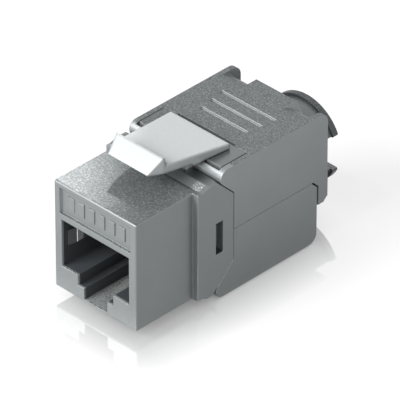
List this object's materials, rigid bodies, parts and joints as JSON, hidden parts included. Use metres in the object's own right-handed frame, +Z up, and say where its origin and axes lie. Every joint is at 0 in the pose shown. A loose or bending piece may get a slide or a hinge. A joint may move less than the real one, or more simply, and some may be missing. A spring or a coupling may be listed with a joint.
{
  "type": "shielded keystone jack",
  "caption": "Shielded modular keystone jack in a metal case, with a rocking panel latch on top and rear jaws that open up and down and close round the cable in a flanged collar.",
  "frame": {"origin": "middle of the bounding box's base: midway across the width and between the front face and the end of the cable collar, on the underside of the lower jaw", "axes": "+Y runs from the plug port to the cable collar, +X is the width, to the right of someone who looks along +Y, and +Z is up, towards the latch"},
  "size_m": [0.0164, 0.038, 0.0222],
  "materials": {
    "case": "satin nickel plating over blasted zinc casting",
    "spring": "plain spring steel",
    "contact": "gold plated bronze",
    "plastic": "moulded black",
    "manager": "moulded off-white",
    "board": "green solder mask"
  },
  "bodies": {
    "housing": {"front_housing": "case", "ground_spring_left": "spring", "ground_spring_right": "spring", "latch_pin": "spring", "latch_spring": "spring", "port_liner": "plastic", "contact_carrier": "plastic", "contact_comb": "plastic", "contact_wire_1": "contact", "contact_wire_2": "contact", "contact_wire_3": "contact", "contact_wire_4": "contact", "contact_wire_5": "contact", "contact_wire_6": "contact", "contact_wire_7": "contact", "contact_wire_8": "contact", "circuit_board": "board", "terminal_block": "plastic", "cable_terminal_1": "contact", "cable_terminal_2": "contact", "cable_terminal_3": "contact", "cable_terminal_4": "contact", "cable_terminal_5": "contact", "cable_terminal_6": "contact", "cable_terminal_7": "contact", "cable_terminal_8": "contact", "wire_manager": "manager"},
    "upper_shell": {"upper_jaw": "case", "upper_hinge_pin": "spring"},
    "lower_shell": {"lower_jaw": "case", "lower_hinge_pin": "spring"},
    "latch": {"latch_lever": "case"}
  },
  "joints": [
    {"name": "upper_jaw_hinge", "type": "hinge", "parent": "housing", "child": "upper_shell", "pos_m": [0, -0.00375, 0.01785], "axis": [1, 0, 0], "range_deg": [0, 90]},
    {"name": "lower_jaw_hinge", "type": "hinge", "parent": "housing", "child": "lower_shell", "pos_m": [0, -0.0045, 0.0012], "axis": [1, 0, 0], "range_deg": [-90, 0]},
    {"name": "latch_press", "type": "hinge", "parent": "housing", "child": "latch", "pos_m": [0, -0.00558, 0.0168], "axis": [1, 0, 0], "range_deg": [0, 18], "stiffness_Nm_per_rad": 0.02, "springref_deg": -2.86, "deforming": ["latch_spring"]}
  ],
  "couplings": [
    {"joint": "lower_jaw_hinge", "follows": "upper_jaw_hinge", "ratio": -1}
  ]
}
